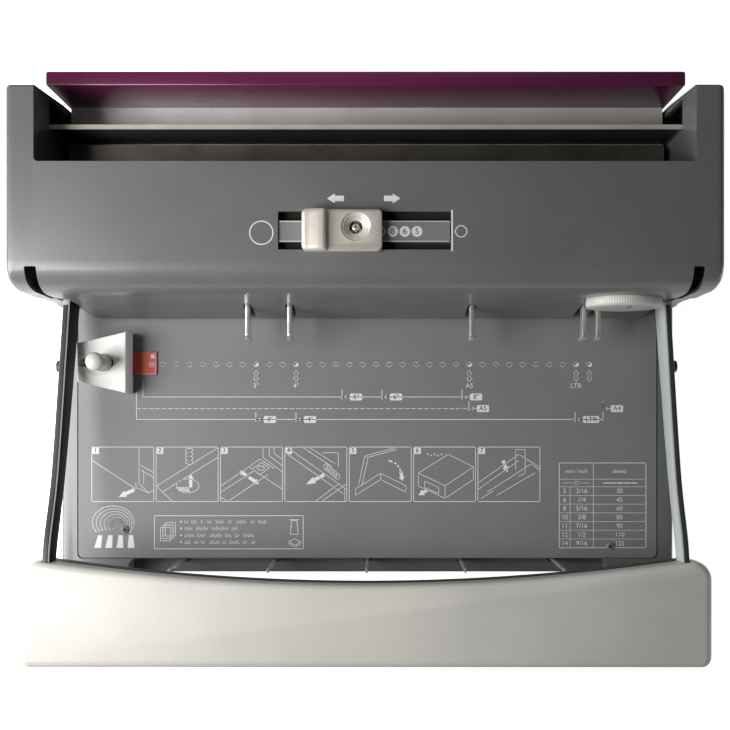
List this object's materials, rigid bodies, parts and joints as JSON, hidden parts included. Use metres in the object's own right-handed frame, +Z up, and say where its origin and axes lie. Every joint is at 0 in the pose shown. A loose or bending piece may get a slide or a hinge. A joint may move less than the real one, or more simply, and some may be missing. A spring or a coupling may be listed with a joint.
{
  "type": "wire binding machine",
  "caption": "Desk binding machine: U-shaped lever, paper table with edge guide, punch throat, wire-closing trough behind the head, size slider and waste drawer.",
  "frame": {"origin": "middle of the footprint, on the surface the feet stand on", "axes": "+X to the operator's right along the machine, +Y to the rear, +Z up"},
  "size_m": [0.393, 0.336, 0.149],
  "materials": {
    "body_grey": "satin, fine textured mid grey",
    "table_grey": "satin grey coat with white printed rules",
    "zinc_steel": "bright zinc-plated sheet",
    "steel": "plain ground steel, oiled",
    "dark_steel": "black oxide",
    "chrome": "bright nickel plate",
    "dark_plastic": "matt charcoal",
    "arm_grey": "satin dark grey coat",
    "silver_plastic": "satin silver lacquer",
    "champagne_metal": "satin warm silver",
    "purple_gloss": "high gloss aubergine",
    "red_plastic": "orange-red film",
    "rubber": "matt black"
  },
  "bodies": {
    "machine": {"base_shell": "body_grey", "base_bottom_plate": "zinc_steel", "paper_table": "table_grey", "rubber_foot_front_left": "rubber", "rubber_foot_front_right": "rubber", "rubber_foot_rear_left": "rubber", "rubber_foot_rear_right": "rubber", "table_screw_left": "chrome", "table_screw_right": "chrome", "head_cover": "body_grey", "rear_panel": "purple_gloss", "side_frame_left": "dark_steel", "side_frame_right": "dark_steel", "shaft_bush_left": "steel", "shaft_bush_right": "steel", "frame_tie_bar": "steel", "die_plate": "steel", "punch_guide": "dark_steel", "closer_fixed_jaw": "steel", "closer_floor_plate": "zinc_steel", "size_rail": "table_grey", "edge_guide_stud": "steel", "hook_rail": "steel", "wire_hook_1": "chrome", "wire_hook_2": "chrome", "wire_hook_3": "chrome", "wire_hook_4": "chrome", "wire_hook_5": "chrome"},
    "handle": {"main_shaft": "steel", "handle_arm_left": "arm_grey", "handle_arm_right": "arm_grey", "arm_bolt_left": "dark_steel", "arm_bolt_right": "dark_steel", "punch_crank_left": "steel", "punch_crank_right": "steel", "closer_crank_left": "steel", "closer_crank_right": "steel", "grip_body": "dark_plastic", "grip_cover": "silver_plastic"},
    "punch_carriage": {"punch_beam": "dark_steel", "punch_comb": "steel"},
    "closer_jaw": {"closer_moving_jaw": "steel"},
    "size_slider": {"size_slider_knob": "champagne_metal", "size_slider_screw": "dark_steel"},
    "margin_dial": {"margin_dial": "silver_plastic", "dial_shaft": "steel"},
    "paper_stop": {"paper_stop": "steel"},
    "edge_guide": {"edge_guide": "silver_plastic", "edge_guide_pointer": "red_plastic"},
    "edge_guide_knob": {"edge_guide_knob": "silver_plastic"},
    "waste_drawer": {"waste_drawer": "dark_plastic"},
    "pull_pin_1": {"pull_pin_1": "chrome"},
    "pull_pin_2": {"pull_pin_2": "chrome"},
    "pull_pin_3": {"pull_pin_3": "chrome"},
    "pull_pin_4": {"pull_pin_4": "chrome"},
    "pull_pin_5": {"pull_pin_5": "chrome"}
  },
  "joints": [
    {"name": "handle_lift", "type": "hinge", "parent": "machine", "child": "handle", "pos_m": [0, 0.118, 0.045], "axis": [-1, 0, 0], "range_deg": [0, 35]},
    {"name": "punch_travel", "type": "slide", "parent": "machine", "child": "punch_carriage", "axis": [0, 0, 1], "range_m": [0, 0.01]},
    {"name": "closer_travel", "type": "slide", "parent": "machine", "child": "closer_jaw", "axis": [0, 1, 0], "range_m": [0, 0.013]},
    {"name": "size_slider_travel", "type": "slide", "parent": "machine", "child": "size_slider", "axis": [1, 0, 0], "range_m": [-0.012, 0.036]},
    {"name": "margin_dial_turn", "type": "hinge", "parent": "machine", "child": "margin_dial", "pos_m": [0.1494, 0.0402, 0.098], "axis": [0, -1, 0], "range_deg": [0, 270]},
    {"name": "paper_stop_travel", "type": "slide", "parent": "machine", "child": "paper_stop", "axis": [0, 1, 0], "range_m": [0, 0.004]},
    {"name": "edge_guide_travel", "type": "slide", "parent": "machine", "child": "edge_guide", "axis": [1, 0, 0], "range_m": [0, 0.01]},
    {"name": "edge_guide_knob_turn", "type": "hinge", "parent": "machine", "child": "edge_guide_knob", "pos_m": [-0.163, 0.0075, 0.07], "axis": [0, 0, -1], "range_deg": [0, 270]},
    {"name": "waste_drawer_travel", "type": "slide", "parent": "machine", "child": "waste_drawer", "axis": [1, 0, 0], "range_m": [0, 0.3]},
    {"name": "pull_pin_1_travel", "type": "slide", "parent": "machine", "child": "pull_pin_1", "axis": [0, -1, 0], "range_m": [0, 0.006]},
    {"name": "pull_pin_2_travel", "type": "slide", "parent": "machine", "child": "pull_pin_2", "axis": [0, -1, 0], "range_m": [0, 0.006]},
    {"name": "pull_pin_3_travel", "type": "slide", "parent": "machine", "child": "pull_pin_3", "axis": [0, -1, 0], "range_m": [0, 0.006]},
    {"name": "pull_pin_4_travel", "type": "slide", "parent": "machine", "child": "pull_pin_4", "axis": [0, -1, 0], "range_m": [0, 0.006]},
    {"name": "pull_pin_5_travel", "type": "slide", "parent": "machine", "child": "pull_pin_5", "axis": [0, -1, 0], "range_m": [0, 0.006]}
  ],
  "couplings": [
    {"joint": "punch_travel", "follows": "handle_lift", "m_per_rad": 0.016369},
    {"joint": "closer_travel", "follows": "handle_lift", "m_per_rad": 0.021279},
    {"joint": "paper_stop_travel", "follows": "margin_dial_turn", "m_per_rad": 0.00084874}
  ]
}
